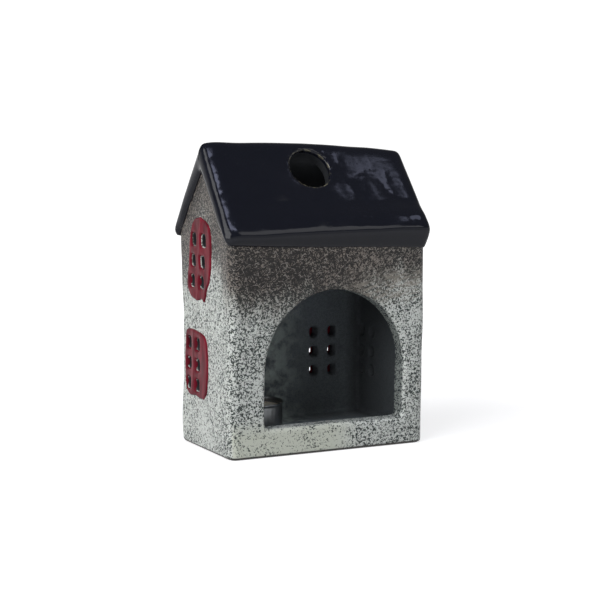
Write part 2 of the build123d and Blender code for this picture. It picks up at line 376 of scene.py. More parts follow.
def parted(mesh, name, cuts):
    """The part of a body on the kept side of each cut, closed there, and shaded as the whole body is."""
    part = bmesh.new()
    part.from_mesh(mesh)
    section = part.faces.layers.int.new("section")
    for place, keep in cuts:
        everything = part.verts[:] + part.edges[:] + part.faces[:]
        cut = bmesh.ops.bisect_plane(part, geom=everything, plane_co=place, plane_no=keep, clear_inner=True)
        rim = [edge for edge in cut["geom_cut"] if isinstance(edge, bmesh.types.BMEdge)]
        filled = bmesh.ops.triangle_fill(part, edges=rim, use_beauty=True)
        for face in filled["geom"]:
            if isinstance(face, bmesh.types.BMFace):
                face[section] = 1
                face.normal_update()
                if face.normal.dot(keep) > 0:
                    face.normal_flip()
    made = smooth_mesh(name, part)
    whole = np.empty(len(made.vertices) * 3, np.float32)
    made.attributes["whole_normal"].data.foreach_get("vector", whole)
    whole = whole.reshape(-1, 3)
    flat = np.empty(len(made.polygons), np.int32)
    made.attributes["section"].data.foreach_get("value", flat)
    normals = []
    for face in made.polygons:
        for corner in face.vertices:
            normals.append(face.normal if flat[face.index] else Vector(whole[corner]).normalized())
    made.attributes.remove(made.attributes["section"])
    made.attributes.remove(made.attributes["whole_normal"])
    made.normals_split_custom_set(normals)
    return linked(name, made)


# Settings that many nodes share
SOFT_STEP = {"interpolation_type": "SMOOTHSTEP"}
COLOURS = {"data_type": "RGBA"}


def add_node(tree, kind, inputs=(), **settings):
    """Adds a node with its settings.
    Its inputs, by name or in order, are linked to a node or a socket, or set to a value."""
    node = tree.nodes.new("ShaderNode" + kind)
    for name, value in settings.items():
        setattr(node, name, value)
    if isinstance(inputs, dict):
        given = [(node.inputs[name], value) for name, value in inputs.items()]
    else:
        given = zip([socket for socket in node.inputs if socket.enabled], inputs)
    for socket, value in given:
        if isinstance(value, bpy.types.Node):
            value = next(output for output in value.outputs if output.enabled)
        if isinstance(value, bpy.types.NodeSocket):
            tree.links.new(value, socket)
        else:
            socket.default_value = value
    return node


def new_material(name):
    """An empty material, a call that adds nodes to it, and the place of each point in the frame."""
    material = bpy.data.materials.new(name)
    material.use_nodes = True
    material.node_tree.nodes.clear()
    add = partial(add_node, material.node_tree)
    return material, add, add("TexCoord").outputs["Object"]


def speckled_wall_glaze(glaze):
    """Milky stoneware glaze over an iron clay, brushed on thick and fired.
    It gives pale walls full of small dark worms, brown below the roof where it ran thin,
    and a dark inside. It paints shade into the arch, the panes and the right of the room,
    light onto the sill's top and the left of the room, and a contact shadow along the foot."""
    material, add, place = new_material("Speckled stoneware glaze, brushed and fired")
    true = add("Attribute", attribute_name="true_place").outputs["Vector"]
    axes = add("SeparateXYZ", (true,)).outputs
    across = add("Math", (axes["X"],), operation="ABSOLUTE")
    depth = add("Math", (axes["Y"],), operation="ABSOLUTE")
    ends = add("MapRange", (across, HALF_WIDTH - 3 * MM, HALF_WIDTH - 0.5 * MM), **SOFT_STEP)
    long_sides = add("MapRange", (ends, 1.0, 0.0), **SOFT_STEP)
    worms = add(
        "TexNoise",
        {"Vector": place, "Scale": 1 / glaze.worm_size, "Detail": 2.0, "Roughness": 0.6, "Distortion": 0.8},
    )
    grain = add("TexNoise", (place, 1 / glaze.grain_size, 1.0))
    patches = add("TexNoise", (place, 1 / glaze.patch_size, 4.0, 0.7))
    pull = add("Mapping", {"Vector": place, "Scale": (1.0, 1.0, 0.3)})
    runs = add("TexNoise", (pull, 1 / glaze.run_size, 4.0, 0.6))

    # Below the roof the glaze is thin, and the iron in the clay shows brown, less so at the right
    line = add("Math", (depth, -SLOPE, UNDER_PEAK), operation="MULTIPLY_ADD")
    drop = add("Math", (line, axes["Z"]), operation="SUBTRACT")
    wander = add("Math", (runs, 2 * glaze.brown_wander, -glaze.brown_wander), operation="MULTIPLY_ADD")
    rightward = (10 * MM, 58 * MM)
    shorter = add("MapRange", (axes["X"], *rightward, 1.0, 1.7), **SOFT_STEP)
    weaker = add("MapRange", (axes["X"], *rightward, 1.0, 0.92), **SOFT_STEP)
    fall = add("Math", (drop, shorter, wander), operation="MULTIPLY_ADD")
    thin = add("MapRange", (fall, glaze.brown_end, glaze.brown_full), **SOFT_STEP)
    thin = add("Math", (thin, weaker), operation="MULTIPLY")

    # A pale wash over the brown, brushed in slanting streaks above the right shoulder of the arch
    slant = add(
        "Mapping",
        {"Vector": true, "Rotation": (0, math.radians(-14), 0), "Scale": (glaze.streak_stretch, 1.0, 1.0)},
        vector_type="TEXTURE",
    )
    strokes = add("TexNoise", (slant, 1 / glaze.streak_size, 2.0, 0.6))
    streaks = add("MapRange", (strokes, 0.42, 0.62, 0.05, 0.62), **SOFT_STEP)
    for mask in (
        add("MapRange", (axes["X"], 2 * MM, 24 * MM), **SOFT_STEP),
        add("MapRange", (drop, 9 * MM, 17 * MM), **SOFT_STEP),
        add("MapRange", (drop, 34 * MM, 25 * MM), **SOFT_STEP),
        long_sides,
    ):
        streaks = add("Math", (streaks, mask), operation="MULTIPLY")

    # Plain patches have few worms, brown ones many, the ends fewer, and the sill at the left hardly any
    low = add("MapRange", (axes["Z"], 24 * MM, 12 * MM), **SOFT_STEP)
    left = add("MapRange", (axes["X"], 22 * MM, 0.0), **SOFT_STEP)
    sill = add("Math", (low, left), operation="MULTIPLY")
    face = add("MapRange", (depth, WALL_Y - 2.5 * MM, WALL_Y - 1 * MM), **SOFT_STEP)
    sill = add("Math", (sill, face), operation="MULTIPLY")
    sill = add("Math", (sill, long_sides), operation="MULTIPLY")
    level = add("Math", (patches, -0.32, 0.645), operation="MULTIPLY_ADD")
    for mask, more in ((thin, 0.105), (ends, -0.022), (sill, -0.095)):
        level = add("Math", (mask, more, level), operation="MULTIPLY_ADD")
    fine = add("Math", (grain, 0.5), operation="SUBTRACT")
    mixed = add("Math", (fine, 0.35, worms), operation="MULTIPLY_ADD")
    gap = add("Math", (mixed, level), operation="SUBTRACT")
    clear = add("MapRange", (gap, -0.05, 0.045), **SOFT_STEP)
    milky = add("Mix", (sill, glaze.pale, glaze.cream), **COLOURS)
    milky = add("Mix", (thin, milky, glaze.brown_pale), **COLOURS)
    dark = add("Mix", (thin, glaze.fleck, glaze.brown), **COLOURS)
    outside = add("Mix", (clear, dark, milky), **COLOURS)

    # Hair-fine pale lines cross the brown in several directions
    for turn in (-38, 12, 64):
        aim = add(
            "Mapping",
            {"Vector": true, "Rotation": (0, math.radians(turn), 0), "Scale": (glaze.hair_stretch, 1.0, 1.0)},
            vector_type="TEXTURE",
        )
        hair = add("TexNoise", (aim, 1 / glaze.hair_size, 1.0))
        hair = add("MapRange", (hair, 0.64, 0.72), **SOFT_STEP)
        hair = add("Math", (hair, thin), operation="MULTIPLY")
        outside = add("Mix", (hair, outside, glaze.hair), **COLOURS)
    outside = add("Mix", (streaks, outside, glaze.tan), **COLOURS)

    # The arch and the pane reveals are speckled and dark with painted shade, the sill's top lighter with
    # painted light;
    # the room behind is daubed, paler to the left with painted light, darker to the right and round the panes
    # with painted shade
    reveal = add("Mix", (clear, glaze.reveal, glaze.painted_reveal_shade_pale), **COLOURS)
    # Painted light: the sill's top is lighter, toward the outer glaze
    painted_light_sill = add("MapRange", (axes["Z"], 20 * MM, 17 * MM, 0.0, 0.45), **SOFT_STEP)
    reveal = add("Mix", (painted_light_sill, reveal, outside), **COLOURS)
    daubs = add("TexNoise", (place, 1 / glaze.daub_size, 3.0, 0.6))
    daubs = add("MapRange", (daubs, 0.36, 0.64), **SOFT_STEP)
    # Painted light: the pale daubs only toward the left of the room
    painted_light_left = add("MapRange", (axes["X"], 20 * MM, -15 * MM), **SOFT_STEP)
    daubs_and_painted_light = add("Math", (daubs, painted_light_left), operation="MULTIPLY")
    daubs_and_painted_light = add("Math", (clear, 0.1, daubs_and_painted_light), operation="MULTIPLY_ADD")
    within = add("Mix", (daubs_and_painted_light, glaze.inside, glaze.inside_pale), **COLOURS)
    # Painted shade toward the right of the room and in the pane reveals, in the soot colour
    painted_shade = add("MapRange", (axes["X"], 38 * MM, INNER_X, 0.0, 0.75), **SOFT_STEP)
    for value, start, end, most in (
        (axes["X"], 0.5 * MM - INNER_X, -INNER_X - 0.8 * MM, 1.0),
        (axes["X"], INNER_X - 0.5 * MM, INNER_X + 0.8 * MM, 0.6),
        (axes["Y"], INNER_Y - 0.5 * MM, INNER_Y + 0.8 * MM, 0.3),
    ):
        panes = add("MapRange", (value, start, end, 0.0, most), **SOFT_STEP)
        painted_shade = add("Math", (painted_shade, panes), operation="MAXIMUM")
    within = add("Mix", (painted_shade, within, glaze.soot_and_shade), **COLOURS)
    behind = add("MapRange", (axes["Y"], -INNER_Y - 0.6 * MM, 0.2 * MM - INNER_Y), **SOFT_STEP)
    within = add("Mix", (behind, reveal, within), **COLOURS)

    # What lies behind the outer faces and above the floor, without the round corners of the walls
    corner_x = add("MapRange", (across, HALF_WIDTH - 8 * MM, HALF_WIDTH - 6 * MM), **SOFT_STEP)
    corner_y = add("MapRange", (depth, WALL_Y - 8 * MM, WALL_Y - 6 * MM), **SOFT_STEP)
    corner = add("Math", (corner_x, corner_y), operation="MULTIPLY")
    room = add("MapRange", (corner, 1.0, 0.0), **SOFT_STEP)
    for value, start, end in (
        (across, HALF_WIDTH - 0.15 * MM, HALF_WIDTH - 0.8 * MM),
        (axes["Y"], 0.5 * MM - WALL_Y, 2.5 * MM - WALL_Y),
        (axes["Y"], WALL_Y - 0.15 * MM, WALL_Y - 0.8 * MM),
        (axes["Z"], FLOOR_TOP - 2 * MM, FLOOR_TOP - 0.5 * MM),
    ):
        mask = add("MapRange", (value, start, end), **SOFT_STEP)
        room = add("Math", (room, mask), operation="MULTIPLY")
    base = add("Mix", (room, outside, within), **COLOURS)
    # The unglazed foot, near black and 1.4 to 1.9 mm high, which paints a contact shadow along the base
    foot = add("MapRange", (axes["Z"], 1.9 * MM, 1.4 * MM), **SOFT_STEP)
    base = add("Mix", (foot, base, glaze.clay), **COLOURS)
    relief = add("Bump", {"Height": clear, "Strength": 0.4, "Distance": 0.1 * MM})
    roughness = add("MapRange", (room, 0.0, 1.0, 0.45, 0.8), **SOFT_STEP)
    shader = add(
        "BsdfPrincipled",
        {"Base Color": base, "Roughness": roughness, "Specular IOR Level": 0.3, "Normal": relief},
    )
    add("OutputMaterial", {"Surface": shader})
    return material


def glossy_roof_glaze(glaze):
    """Blue-black glaze poured thick over the roof and fired glossy.
    It gives mirror patches that swim with the waves in the glaze, pinholes,
    and a thin pale line at the vent."""
    material, add, place = new_material("Blue-black roof glaze, poured and fired glossy")
    waves = add("TexNoise", (place, 1 / glaze.wave_size, 2.0, 0.4))
    peel = add("TexNoise", (place, 1 / glaze.peel_size, 2.0))
    holes = add("TexVoronoi", {"Vector": place, "Scale": 1 / glaze.pinhole_spacing})
    pits = add("MapRange", (holes, 0.05, 0.085), **SOFT_STEP)
    stroke = add("Mapping", {"Vector": place, "Scale": (0.3, 1.0, 1.0)})
    strokes = add("TexNoise", (stroke, 1 / glaze.roof_stroke, 2.0, 0.45))
    height = waves
    for layer, share in ((strokes, 0.4), (peel, 0.03), (pits, 0.04)):
        height = add("Math", (layer, share, height), operation="MULTIPLY_ADD")
    relief = add("Bump", {"Height": height, "Strength": 1.0, "Distance": 0.5 * MM})
    true = add("Attribute", attribute_name="true_place").outputs["Vector"]
    axes = add("SeparateXYZ", (true,)).outputs
    across = add("Math", (axes["X"],), operation="ABSOLUTE")
    depth = add("Math", (axes["Y"],), operation="ABSOLUTE")

    # Inside the house the roof is bare and sooty
    line = add("Math", (depth, -SLOPE, UNDER_PEAK), operation="MULTIPLY_ADD")
    above = add("Math", (axes["Z"], line), operation="SUBTRACT")
    above = add("Math", (above, math.cos(PITCH)), operation="MULTIPLY")
    bare = add("MapRange", (above, 6.5 * MM, 5 * MM), **SOFT_STEP)
    for value, start, end in ((across, HALF_WIDTH, INNER_X + 5 * MM), (depth, WALL_Y, INNER_Y + 5 * MM)):
        mask = add("MapRange", (value, start, end), **SOFT_STEP)
        bare = add("Math", (bare, mask), operation="MULTIPLY")

    # The glaze breaks pale over the sharp edge of the vent, here and there
    spoke = add("VectorMath", (true, tuple(VENT)), operation="SUBTRACT")
    spoke = add("VectorMath", (spoke, tuple(VENT_AXIS)), operation="CROSS_PRODUCT")
    spoke = add("VectorMath", (spoke,), operation="LENGTH")
    off_edge = add("Math", (spoke, VENT_RADIUS + 0.3 * MM), operation="SUBTRACT")
    off_edge = add("Math", (off_edge,), operation="ABSOLUTE")
    edge = add("MapRange", (off_edge, 0.45 * MM, 0.1 * MM), **SOFT_STEP)
    breaks = add("TexNoise", (place, 1 / glaze.break_size, 2.0))
    for value, start, end in ((breaks, 0.42, 0.56), (above, 6.5 * MM, 7.5 * MM), (axes["Y"], 0.0, -1 * MM)):
        mask = add("MapRange", (value, start, end), **SOFT_STEP)
        edge = add("Math", (edge, mask), operation="MULTIPLY")
    base = add("Mix", (edge, glaze.roof, glaze.roof_thin), **COLOURS)
    base = add("Mix", (bare, base, glaze.soot_and_shade), **COLOURS)
    roughness = add("MapRange", (waves, 0.3, 0.7, 0.05, 0.14), **SOFT_STEP)
    matt = add("Math", (bare, 0.8), operation="MULTIPLY")
    roughness = add("Math", (roughness, matt), operation="MAXIMUM")
    shader = add(
        "BsdfPrincipled",
        {"Base Color": base, "Roughness": roughness, "Specular IOR Level": 0.2, "Normal": relief},
    )
    add("OutputMaterial", {"Surface": shader})
    return material


def brushed_red_glaze(glaze):
    """Red glaze brushed thick round the panes and fired glossy.
    It gives dark red pads with soft highlights, brighter where the brush left less."""
    material, add, place = new_material("Red window glaze, brushed and fired glossy")
    pull = add("Mapping", {"Vector": place, "Scale": (1.0, 1.0, 0.25)})
    strokes = add("TexNoise", (pull, 1 / glaze.red_stroke, 3.0, 0.6))
    pools = add("TexNoise", (place, 1 / glaze.red_pool, 2.0))
    thin = add("MapRange", (strokes, 0.35, 0.7), **SOFT_STEP)
    base = add("Mix", (thin, glaze.red, glaze.red_bright), **COLOURS)
    height = add("Math", (strokes, 0.5, pools), operation="MULTIPLY_ADD")
    relief = add("Bump", {"Height": height, "Strength": 0.8, "Distance": 0.3 * MM})
    shader = add(
        "BsdfPrincipled",
        {"Base Color": base, "Roughness": 0.2, "Specular IOR Level": 0.04, "Normal": relief},
    )
    add("OutputMaterial", {"Surface": shader})
    return material


def pressed_aluminium(glaze):
    """Thin aluminium sheet, drawn in a press.
    It gives a soft grey sheen with upright draw lines, drawn coarser than real ones so that they show."""
    material, add, place = new_material("Aluminium sheet, drawn in a press")
    drawn = add("Mapping", {"Vector": place, "Scale": (1.0, 1.0, 0.1)})
    lines = add("TexNoise", (drawn, 1 / glaze.draw_line, 2.0))
    relief = add("Bump", {"Height": lines, "Strength": 0.3, "Distance": 0.05 * MM})
    roughness = add("MapRange", (lines, 0.3, 0.7, 0.28, 0.4), **SOFT_STEP)
    shader = add(
        "BsdfPrincipled",
        {"Base Color": glaze.aluminium, "Metallic": 1.0, "Roughness": roughness, "Normal": relief},
    )
    add("OutputMaterial", {"Surface": shader})
    return material


def poured_wax(glaze):
    """Paraffin wax, poured hot and left to set.
    It gives a cream, slightly glowing surface with a faint mottle."""
    material, add, place = new_material("Paraffin wax, poured and set")
    mottle = add("TexNoise", (place, 1 / glaze.mottle_size, 3.0))
    relief = add("Bump", {"Height": mottle, "Strength": 0.4, "Distance": 0.15 * MM})
    roughness = add("MapRange", (mottle, 0.3, 0.7, 0.4, 0.55), **SOFT_STEP)
    shader = add(
        "BsdfPrincipled",
        {
            "Base Color": glaze.wax,
            "Roughness": roughness,
            "Subsurface Weight": 0.4,
            "Subsurface Radius": (2 * MM, 1.6 * MM, 1.2 * MM),
            "Subsurface Scale": 1.0,
            "Normal": relief,
        },
    )
    add("OutputMaterial", {"Surface": shader})
    return material


def waxed_cotton(glaze):
    """Cotton yarn, twisted and dipped in wax.
    It gives an off-white cord with hardly any shine.
    Its fibres are drawn coarser than real ones so that they show."""
    material, add, place = new_material("Cotton yarn, twisted and waxed")
    fibres = add("TexNoise", (place, 1 / glaze.fibre_size, 2.0))
    relief = add("Bump", {"Height": fibres, "Strength": 0.6, "Distance": 0.08 * MM})
    roughness = add("MapRange", (fibres, 0.3, 0.7, 0.6, 0.8), **SOFT_STEP)
    shader = add("BsdfPrincipled", {"Base Color": glaze.cotton, "Roughness": roughness, "Normal": relief})
    add("OutputMaterial", {"Surface": shader})
    return material


def tinned_sheet(glaze):
    """Steel sheet, dipped in tin and stamped.
    It gives a cool, slightly cloudy metal shine."""
    material, add, place = new_material("Steel sheet, tinned and stamped")
    clouds = add("TexNoise", (place, 1 / glaze.cloud_size, 3.0))
    roughness = add("MapRange", (clouds, 0.3, 0.7, 0.25, 0.4), **SOFT_STEP)
    shader = add("BsdfPrincipled", {"Base Color": glaze.tin, "Metallic": 1.0, "Roughness": roughness})
    add("OutputMaterial", {"Surface": shader})
    return material


def seen_rays(add):
    """1 for what is seen straight, in a mirror or through glass, and 0 for the light that it sheds."""
    rays = add("LightPath").outputs
    seen = add("Math", (rays["Is Camera Ray"], rays["Is Glossy Ray"]), operation="MAXIMUM")
    return add("Math", (seen, rays["Is Transmission Ray"]), operation="MAXIMUM")


# How far from the middle of the house the shadow on the paper starts to fade, and where it is gone
SHADOW_START = 100 * MM
SHADOW_END = 420 * MM


def white_paper(name, glaze, bounce, glow):
    """Matt white studio paper.
    It gives plain white away from the house, seen straight, in a mirror or through glass,
    and a soft shadow near it."""
    material, add, place = new_material(name)
    away = add("VectorMath", (place,), operation="LENGTH")
    glowing = add("MapRange", (away, SHADOW_START, SHADOW_END, glow, 1.0), **SOFT_STEP)
    strength = add("Math", (seen_rays(add), glowing), operation="MULTIPLY")
    shade = tuple(bounce * channel for channel in glaze.paper[:3]) + (1.0,)
    matt = add("BsdfDiffuse", {"Color": shade})
    lit = add("Emission", {"Color": glaze.paper, "Strength": strength})
    add("OutputMaterial", {"Surface": add("AddShader", (matt, lit))})
    return material


class TEALIGHT_HOUSE_OT_walls(bpy.types.Operator):
    """Fuse the floor and the wall slabs into one soft clay body, press it by hand and part it at its seams"""

    bl_idname = "tealight_house.walls"
    bl_label = "Floor and walls"

    def execute(self, context):
        clay = house_settings(context, "clay")
        near = 0.3 * MM

        def lapped(place):
            if place.z > EAVE_HEIGHT - near and place.z > under_roof(place.y) - near:
                place.z += clay.lap

        body = fused_clay(WALL_NODES, clay, clay.wall_rounds, lapped)
        pressed(body, lambda place: hand_pressed(place, clay))
        # The cuts lie just inside the room, clear of its faces
        step = 2 * MM
        middle = Vector((0, 0, 0))
        floor = UP * (FLOOR_TOP + step)
        front = FRONT * (INNER_Y - step)
        back = BACK * (INNER_Y - step)
        between = [(floor, UP), (front, BACK), (back, FRONT)]
        cuts = {
            "floor_slab": [(floor, -UP)],
            "front_wall": [(floor, UP), (front, FRONT)],
            "back_wall": [(floor, UP), (back, BACK)],
            "left_gable_wall": [(middle, LEFT), *between],
            "right_gable_wall": [(middle, RIGHT), *between],
        }
        material = speckled_wall_glaze(house_settings(context, "glaze"))
        for node, where in cuts.items():
            finished(parted(body, "clay_" + node, where), material, "house", node)
        bpy.data.meshes.remove(body)
        return {"FINISHED"}


# Bands of the roof that the hand changed: eaves and peak are measured from the middle of the house,
# verge and tuck from the ends of the roof
EAVE_START = 24 * MM
EAVE_RUN = 8 * MM
PEAK_WIDTH = 20 * MM
PEAK_START = 50 * MM
PEAK_RUN = 8 * MM
VERGE_RUN = 10 * MM
TUCK_RUN = 9 * MM
# The rim of the vent is hardly rubbed, and this is how far it is from there to full softness
VENT_RIM = 1 * MM
VENT_RUN = 4 * MM


class TEALIGHT_HOUSE_OT_roof(bpy.types.Operator):
    """Fuse the roof slabs at the ridge, press them by hand and part them there again"""

    bl_idname = "tealight_house.roof"
    bl_label = "Roof"

    def execute(self, context):
        clay = house_settings(context, "clay")

        def moved(place):
            height = (place.z - under_roof(place.y)) * math.cos(PITCH)
            low = 1 - eased(height / ROOF_THICKNESS)
            along = place.x / ROOF_END
            near_eave = eased((abs(place.y) - EAVE_START) / EAVE_RUN)
            sag = -clay.eave_fall * along * low * near_eave
            tuck = clay.eave_tuck * low * near_eave * eased(1 + (place.x - ROOF_END) / TUCK_RUN)
            roll = clay.eave_roll * (0.5 + 0.5 * along) * (1 - low) * near_eave
            # The verge rolls over fully at the left end, and by 0.3 of that at the right
            near_end = max(0.0, (abs(place.x) - ROOF_END + VERGE_RUN) / VERGE_RUN)
            roll -= clay.verge_roll * near_end * near_end * (1 - low) * (0.65 - 0.35 * along)
            swell = Vector((0, math.copysign(math.sin(PITCH), place.y), math.cos(PITCH))) * roll
            near_peak = max(0.0, 1 - abs(place.y) / PEAK_WIDTH)
            near_peak *= eased((abs(place.x) - PEAK_START) / PEAK_RUN)
            sag -= clay.peak_fill * low * near_peak
            return hand_pressed(place, clay) + Vector((-tuck, 0, sag)) + swell

        def softness(place):
            if place.y >= 0:
                return 1.0
            off_axis = (place - VENT).cross(VENT_AXIS).length
            return 0.1 + 0.9 * eased((off_axis - VENT_RADIUS - VENT_RIM) / VENT_RUN)

        body = fused_clay(ROOF_NODES, clay, clay.roof_rounds, None, softness)
        # Points near the bore of the vent go onto it, so that it is cut clean
        near = 0.7 * clay.fuse_size
        for vert in body.vertices:
            spoke = vert.co - VENT
            spoke -= VENT_AXIS * spoke.dot(VENT_AXIS)
            away = spoke.length - VENT_RADIUS
            if vert.co.y < 0 and abs(away) < near:
                vert.co -= spoke.normalized() * away
        pressed(body, moved)
        material = glossy_roof_glaze(house_settings(context, "glaze"))
        for node, side in (("front_roof_slab", FRONT), ("back_roof_slab", BACK)):
            piece = parted(body, "glazed_" + node, [(Vector((0, 0, 0)), side)])
            finished(piece, material, "house", node)
        bpy.data.meshes.remove(body)
        return {"FINISHED"}


# Outlines of the brushed glaze: millimetres behind the middle of the gable, and above the table
UPPER_OUTLINE = (
    (12.2, 126.8), (4.0, 128.3), (-4.8, 126.8), (-10.4, 122.9), (-10.6, 108.9), (-8.2, 96.3),
    (-3.3, 90.2), (-0.4, 83.0), (1.4, 82.3), (3.6, 84.4), (7.5, 83.6), (11.2, 82.3),
    (20.7, 85.4), (23.4, 91.6), (19.9, 104.6), (16.4, 119.3),
)
LOWER_OUTLINE = (
    (24.9, 66.4), (12.4, 66.0), (3.3, 65.4), (-2.3, 62.5), (-5.4, 53.5), (-5.1, 33.7), (-0.8, 28.4),
    (8.0, 28.3), (13.1, 29.3), (20.5, 28.1), (26.0, 31.6), (27.9, 43.7), (26.7, 60.9),
)
# Middle of the panes of each gable window, and the lean of the upper one
UPPER_PANES = (7.4, 104.75)
LOWER_PANES = (15.5, 46.6)
UPPER_LEAN = -math.tan(math.radians(10))
# The point of the lower outline that is set on the middle of a window at the back
LOWER_MIDDLE = (11.8, 47.2)
# How far the grid of a coat reaches past its outline
GRID_MARGIN = 2 * MM
# A ray from in front of the wall finds it; over a pane, where it finds none, the glaze lies at its end
RAY_START = 5 * MM
RAY_REACH = 7.5 * MM


def rounded_outline(points, rounds=3):
    """A closed outline with its corners cut round."""
    outline = np.array(points, float)
    for _ in range(rounds):
        ahead = np.roll(outline, -1, axis=0)
        outline = np.stack((0.75 * outline + 0.25 * ahead, 0.25 * outline + 0.75 * ahead), 1).reshape(-1, 2)
    return outline


def depth_in_outline(outline, places):
    """How far each place lies inside a closed outline; outside it is below zero."""
    start = outline[None, :, :]
    run = np.roll(outline, -1, axis=0)[None, :, :] - start
    away = places[:, None, :] - start
    share = np.clip((away * run).sum(2) / (run * run).sum(2), 0, 1)
    near = np.sqrt(((away - run * share[..., None]) ** 2).sum(2)).min(1)
    low, high = away[..., 1] < 0, away[..., 1] < run[..., 1]
    side = run[..., 0] * away[..., 1] - run[..., 1] * away[..., 0]
    crossed = (low != high) & ((side > 0) == (run[..., 1] < 0))
    return np.where(crossed.sum(1) % 2 == 1, near, -near)


def on_wall(outward, a, z):
    """The true place on the wall that faces outward: a across it, z above the table."""
    if outward.x:
        return Vector((outward.x * HALF_WIDTH, a, z))
    return Vector((a, outward.y * WALL_Y, z))


def brush_noise(a, z, size, layer):
    """Smooth noise across a window, in waves of one size. Each layer has its own waves."""
    return noise.noise(Vector((a, z, 0)) / size + UP * layer)


def fill_depth(places, outline, panes, lean, reach, glass, seed):
    """How deep each place lies in the glaze, from its outline and its panes. Bare places are below zero."""
    wander = [brush_noise(a, z, glass.wander_size, 7.3 * seed) for a, z in places]
    fill = depth_in_outline(outline, places) + np.array(wander) * glass.edge_wander
    half = np.array((glass.pane_width, glass.pane_height)) / 2 - glass.pane_corner
    most = glass.pane_width / 2 - glass.pane_slit
    for row in (-1, 0, 1):
        for column in (-0.5, 0.5):
            rise = row * glass.pitch_up
            middle = panes + np.array((column * glass.pitch_across + rise * lean, rise))
            past = np.abs(places - middle) - half
            clear = np.linalg.norm(np.maximum(past, 0), axis=1) + np.minimum(past.max(1), 0)
            wrap = reach * (1 + 0.5 * noise.noise(Vector((2.4 * row, 1.9 * column, 1.5 * seed))))
            fill = np.minimum(fill, clear - glass.pane_corner + min(wrap, most))
    return fill


def cut_sheet(places, counts, fill):
    """A grid with the fill depth as its height, cut at zero, which gives the coat a smooth edge."""
    sheet = bmesh.new()
    verts = [sheet.verts.new((a, z, depth)) for (a, z), depth in zip(places, fill)]
    across, up = counts
    for i in range(across - 1):
        for j in range(up - 1):
            corners = (i * up + j, (i + 1) * up + j, (i + 1) * up + j + 1, i * up + j + 1)
            if max(fill[corner] for corner in corners) > 0:
                sheet.faces.new([verts[corner] for corner in corners])
    everything = sheet.verts[:] + sheet.edges[:] + sheet.faces[:]
    bmesh.ops.bisect_plane(sheet, geom=everything, plane_co=(0, 0, 0), plane_no=UP, clear_inner=True)
    bmesh.ops.delete(sheet, geom=[vert for vert in sheet.verts if not vert.link_faces], context="VERTS")
    bmesh.ops.remove_doubles(sheet, verts=sheet.verts, dist=0.02 * MM)
    return sheet


class TEALIGHT_HOUSE_OT_windows(bpy.types.Operator):
    """Brush red glaze round the panes of the six windows"""

    bl_idname = "tealight_house.windows"
    bl_label = "Windows"

    def execute(self, context):
        glass = house_settings(context, "window")
        material = brushed_red_glaze(house_settings(context, "glaze"))
        walls = bmesh.new()
        for node in WALL_NODES:
            walls.from_mesh(bpy.data.objects["clay_" + node].data)
        tree = BVHTree.FromBMesh(walls)
        walls.free()
        upper = (UPPER_OUTLINE, UPPER_PANES, UPPER_LEAN, glass.pane_wrap)
        lower = (LOWER_OUTLINE, LOWER_PANES, 0.0, glass.pane_wrap)
        windows = {
            "left_upper_window_glaze": (LEFT, *upper),
            "left_lower_window_glaze": (LEFT, *lower),
            "right_upper_window_glaze": (RIGHT, *upper),
            "right_lower_window_glaze": (RIGHT, *lower),
        }
        first, second = LOWER_MIDDLE
        for node, turn in (("back_left_window_glaze", 1), ("back_right_window_glaze", -1)):
            low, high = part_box(node)
            middle = (low + high) / 2
            panes = (middle.x / MM, middle.z / MM)
            outline = [((a - first) * turn + panes[0], z - second + panes[1]) for a, z in LOWER_OUTLINE]
            windows[node] = (BACK, outline, panes, 0.0, glass.back_wrap)
        for seed, (node, window) in enumerate(windows.items()):
            mesh = self.brushed(context, node, window, tree, seed)
            finished(linked("brushed_" + node, mesh), material, "house", node)
        return {"FINISHED"}

    def brushed(self, context, node, window, tree, seed):
        """A closed coat of glaze that follows the wall, with a round edge at its outline and at the panes."""
        clay, glass = house_settings(context, "clay"), house_settings(context, "window")
        outward, outline, panes, lean, reach = window
        outline = rounded_outline(np.array(outline) * MM)
        panes = np.array(panes) * MM
        low, high = outline.min(0) - GRID_MARGIN, outline.max(0) + GRID_MARGIN
        counts = np.ceil((high - low) / glass.grid_size).astype(int) + 1
        lines = [np.linspace(start, end, number) for start, end, number in zip(low, high, counts)]
        places = np.stack(np.meshgrid(*lines, indexing="ij"), -1).reshape(-1, 2)
        fill = fill_depth(places, outline, panes, lean, reach, glass, seed)
        sheet = cut_sheet(places, counts, fill)
        seam = panes[0] + lean * glass.seam_drop
        tops, roots = {}, {}
        for vert in sheet.verts:
            a, z, depth = vert.co
            start = hand_pressed(on_wall(outward, a, z), clay) + outward * RAY_START
            wall = tree.ray_cast(start, -outward, RAY_REACH)[0]
            if wall is None:
                wall = start - outward * RAY_REACH
            edge = max(0.0, 1 - depth / glass.edge_width)
            from_seam = (a - seam - (z - panes[1]) * lean) / glass.seam_width
            pool = 1 + 0.3 * brush_noise(a, z, glass.pool_size, 3.1 * seed)
            height = glass.glaze_height * pool + glass.seam_height * math.exp(-from_seam * from_seam)
            tops[vert] = wall + outward * height * math.sqrt(max(0.0, 1 - edge * edge))
            roots[vert] = wall - outward * glass.glaze_root
        coat = bmesh.new()
        tops = {vert: coat.verts.new(place) for vert, place in tops.items()}
        roots = {vert: coat.verts.new(place) for vert, place in roots.items()}
        for face in sheet.faces:
            coat.faces.new([tops[vert] for vert in face.verts])
            coat.faces.new([roots[vert] for vert in reversed(face.verts)])
        for edge in sheet.edges:
            if edge.is_boundary:
                first, second = edge.verts
                coat.faces.new((tops[first], tops[second], roots[second], roots[first]))
        sheet.free()
        bmesh.ops.recalc_face_normals(coat, faces=coat.faces)
        return smooth_mesh(node, coat)


